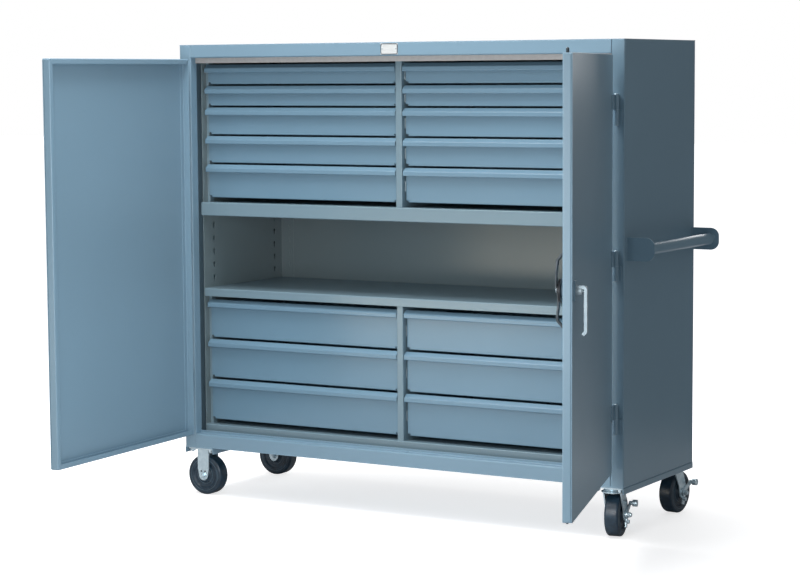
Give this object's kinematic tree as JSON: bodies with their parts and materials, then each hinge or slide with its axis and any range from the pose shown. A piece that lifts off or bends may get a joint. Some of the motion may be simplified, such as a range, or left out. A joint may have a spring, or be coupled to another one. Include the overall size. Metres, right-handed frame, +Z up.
{
  "type": "rolling storage cabinet",
  "caption": "Wide rolling steel storage cabinet with two hinged doors, drawer banks above and below an open shelf bay, a turn-handle lock, a side push handle and casters.",
  "frame": {"origin": "on the floor, under the middle of the whole object's box with the doors standing open as at rest", "axes": "+X to the cabinet's right along its width, +Y to its back, +Z up"},
  "size_m": [2.0916, 1.5462, 1.707],
  "materials": {
    "cabinet_paint": "satin gloss blue-grey enamel",
    "inner_paint": "satin gloss blue-grey enamel",
    "drawer_paint": "satin gloss blue-grey enamel",
    "zinc_plate": "bright zinc plating",
    "blackened_steel": "black",
    "wheel_black": "hard black mould-on rubber",
    "plate_metal": "satin"
  },
  "bodies": {
    "cabinet": {"right_side_panel": "cabinet_paint", "left_side_panel": "cabinet_paint", "top_panel": "cabinet_paint", "floor_pan": "cabinet_paint", "back_panel": "cabinet_paint", "header": "cabinet_paint", "header_stop": "cabinet_paint", "sill": "cabinet_paint", "right_liner": "inner_paint", "left_liner": "inner_paint", "bottom_deck": "inner_paint", "lower_deck": "inner_paint", "upper_deck": "inner_paint", "lower_divider": "inner_paint", "upper_divider": "inner_paint", "slide_posts": "inner_paint", "base_channels": "cabinet_paint", "name_plate": "plate_metal", "push_handle": "cabinet_paint", "slide_channels": "zinc_plate", "frame_hinge_leaves": "cabinet_paint", "caster_bolts": "zinc_plate", "rigid_forks": "zinc_plate", "swivel_heads": "zinc_plate"},
    "upper_right_drawer_1": {"upper_right_drawer_1": "drawer_paint"},
    "upper_left_drawer_1": {"upper_left_drawer_1": "drawer_paint"},
    "upper_right_drawer_2": {"upper_right_drawer_2": "drawer_paint"},
    "upper_left_drawer_2": {"upper_left_drawer_2": "drawer_paint"},
    "upper_right_drawer_3": {"upper_right_drawer_3": "drawer_paint"},
    "upper_left_drawer_3": {"upper_left_drawer_3": "drawer_paint"},
    "upper_right_drawer_4": {"upper_right_drawer_4": "drawer_paint"},
    "upper_left_drawer_4": {"upper_left_drawer_4": "drawer_paint"},
    "upper_right_drawer_5": {"upper_right_drawer_5": "drawer_paint"},
    "upper_left_drawer_5": {"upper_left_drawer_5": "drawer_paint"},
    "lower_right_drawer_1": {"lower_right_drawer_1": "drawer_paint"},
    "lower_left_drawer_1": {"lower_left_drawer_1": "drawer_paint"},
    "lower_right_drawer_2": {"lower_right_drawer_2": "drawer_paint"},
    "lower_left_drawer_2": {"lower_left_drawer_2": "drawer_paint"},
    "lower_right_drawer_3": {"lower_right_drawer_3": "drawer_paint"},
    "lower_left_drawer_3": {"lower_left_drawer_3": "drawer_paint"},
    "left_door": {"left_door_panel": "cabinet_paint", "left_door_frame": "cabinet_paint", "left_door_hinge_leaves": "cabinet_paint"},
    "right_door": {"right_door_panel": "cabinet_paint", "right_door_frame": "cabinet_paint", "right_door_hinge_leaves": "cabinet_paint", "lock_fittings": "zinc_plate"},
    "latch": {"latch_handle": "zinc_plate", "latch_cam": "blackened_steel"},
    "top_rod": {"top_lock_rod": "zinc_plate"},
    "bottom_rod": {"bottom_lock_rod": "zinc_plate"},
    "right_front_swivel": {"right_front_fork": "zinc_plate"},
    "right_front_wheel_body": {"right_front_wheel": "wheel_black"},
    "left_front_wheel_body": {"left_front_wheel": "wheel_black"},
    "right_front_brake": {"right_front_brake_lever": "zinc_plate"},
    "right_rear_swivel": {"right_rear_fork": "zinc_plate"},
    "right_rear_wheel_body": {"right_rear_wheel": "wheel_black"},
    "left_rear_wheel_body": {"left_rear_wheel": "wheel_black"},
    "right_rear_brake": {"right_rear_brake_lever": "zinc_plate"}
  },
  "joints": [
    {"name": "upper_right_drawer_1_slide", "type": "slide", "parent": "cabinet", "child": "upper_right_drawer_1", "axis": [0, -1, 0], "range_m": [0, 0.38]},
    {"name": "upper_left_drawer_1_slide", "type": "slide", "parent": "cabinet", "child": "upper_left_drawer_1", "axis": [0, -1, 0], "range_m": [0, 0.38]},
    {"name": "upper_right_drawer_2_slide", "type": "slide", "parent": "cabinet", "child": "upper_right_drawer_2", "axis": [0, -1, 0], "range_m": [0, 0.38]},
    {"name": "upper_left_drawer_2_slide", "type": "slide", "parent": "cabinet", "child": "upper_left_drawer_2", "axis": [0, -1, 0], "range_m": [0, 0.38]},
    {"name": "upper_right_drawer_3_slide", "type": "slide", "parent": "cabinet", "child": "upper_right_drawer_3", "axis": [0, -1, 0], "range_m": [0, 0.38]},
    {"name": "upper_left_drawer_3_slide", "type": "slide", "parent": "cabinet", "child": "upper_left_drawer_3", "axis": [0, -1, 0], "range_m": [0, 0.38]},
    {"name": "upper_right_drawer_4_slide", "type": "slide", "parent": "cabinet", "child": "upper_right_drawer_4", "axis": [0, -1, 0], "range_m": [0, 0.38]},
    {"name": "upper_left_drawer_4_slide", "type": "slide", "parent": "cabinet", "child": "upper_left_drawer_4", "axis": [0, -1, 0], "range_m": [0, 0.38]},
    {"name": "upper_right_drawer_5_slide", "type": "slide", "parent": "cabinet", "child": "upper_right_drawer_5", "axis": [0, -1, 0], "range_m": [0, 0.38]},
    {"name": "upper_left_drawer_5_slide", "type": "slide", "parent": "cabinet", "child": "upper_left_drawer_5", "axis": [0, -1, 0], "range_m": [0, 0.38]},
    {"name": "lower_right_drawer_1_slide", "type": "slide", "parent": "cabinet", "child": "lower_right_drawer_1", "axis": [0, -1, 0], "range_m": [0, 0.38]},
    {"name": "lower_left_drawer_1_slide", "type": "slide", "parent": "cabinet", "child": "lower_left_drawer_1", "axis": [0, -1, 0], "range_m": [0, 0.38]},
    {"name": "lower_right_drawer_2_slide", "type": "slide", "parent": "cabinet", "child": "lower_right_drawer_2", "axis": [0, -1, 0], "range_m": [0, 0.38]},
    {"name": "lower_left_drawer_2_slide", "type": "slide", "parent": "cabinet", "child": "lower_left_drawer_2", "axis": [0, -1, 0], "range_m": [0, 0.38]},
    {"name": "lower_right_drawer_3_slide", "type": "slide", "parent": "cabinet", "child": "lower_right_drawer_3", "axis": [0, -1, 0], "range_m": [0, 0.38]},
    {"name": "lower_left_drawer_3_slide", "type": "slide", "parent": "cabinet", "child": "lower_left_drawer_3", "axis": [0, -1, 0], "range_m": [0, 0.38]},
    {"name": "left_door_hinge", "type": "hinge", "parent": "cabinet", "child": "left_door", "pos_m": [-1.00634, 0.112, 0.187], "axis": [0, 0, -1], "range_deg": [-87.3, 92.7]},
    {"name": "right_door_hinge", "type": "hinge", "parent": "cabinet", "child": "right_door", "pos_m": [0.76966, 0.112, 0.187], "axis": [0, 0, 1], "range_deg": [-107, 73]},
    {"name": "latch_turn", "type": "hinge", "parent": "right_door", "child": "latch", "pos_m": [1.00562, -0.69058, 0.942], "axis": [0.9563, 0.2924, 0], "range_deg": [0, 90]},
    {"name": "top_rod_slide", "type": "slide", "parent": "right_door", "child": "top_rod", "axis": [0, 0, -1], "range_m": [0, 0.03697]},
    {"name": "bottom_rod_slide", "type": "slide", "parent": "right_door", "child": "bottom_rod", "axis": [0, 0, 1], "range_m": [0, 0.03697]},
    {"name": "left_front_wheel_spin", "type": "hinge", "parent": "cabinet", "child": "left_front_wheel_body", "pos_m": [-0.96984, 0.179, 0.076], "axis": [0, 1, 0], "continuous": true},
    {"name": "left_rear_wheel_spin", "type": "hinge", "parent": "cabinet", "child": "left_rear_wheel_body", "pos_m": [-0.96984, 0.663, 0.076], "axis": [0, 1, 0], "continuous": true},
    {"name": "right_front_swivel_turn", "type": "hinge", "parent": "cabinet", "child": "right_front_swivel", "pos_m": [0.73316, 0.179, 0.184], "axis": [0, 0, 1], "continuous": true},
    {"name": "right_front_wheel_spin", "type": "hinge", "parent": "right_front_swivel", "child": "right_front_wheel_body", "pos_m": [0.72726, 0.21147, 0.076], "axis": [-0.9839, -0.1788, 0], "continuous": true},
    {"name": "right_front_brake_press", "type": "hinge", "parent": "right_front_swivel", "child": "right_front_brake", "pos_m": [0.72726, 0.21147, 0.076], "axis": [-0.9839, -0.1788, 0], "range_deg": [0, 22]},
    {"name": "right_rear_swivel_turn", "type": "hinge", "parent": "cabinet", "child": "right_rear_swivel", "pos_m": [0.73316, 0.663, 0.184], "axis": [0, 0, 1], "continuous": true},
    {"name": "right_rear_wheel_spin", "type": "hinge", "parent": "right_rear_swivel", "child": "right_rear_wheel_body", "pos_m": [0.73603, 0.69587, 0.076], "axis": [-0.9962, 0.0872, 0], "continuous": true},
    {"name": "right_rear_brake_press", "type": "hinge", "parent": "right_rear_swivel", "child": "right_rear_brake", "pos_m": [0.73603, 0.69587, 0.076], "axis": [-0.9962, 0.0872, 0], "range_deg": [0, 22]}
  ],
  "couplings": [
    {"joint": "top_rod_slide", "follows": "latch_turn", "m_per_rad": 0.023408},
    {"joint": "bottom_rod_slide", "follows": "latch_turn", "m_per_rad": 0.023408}
  ]
}
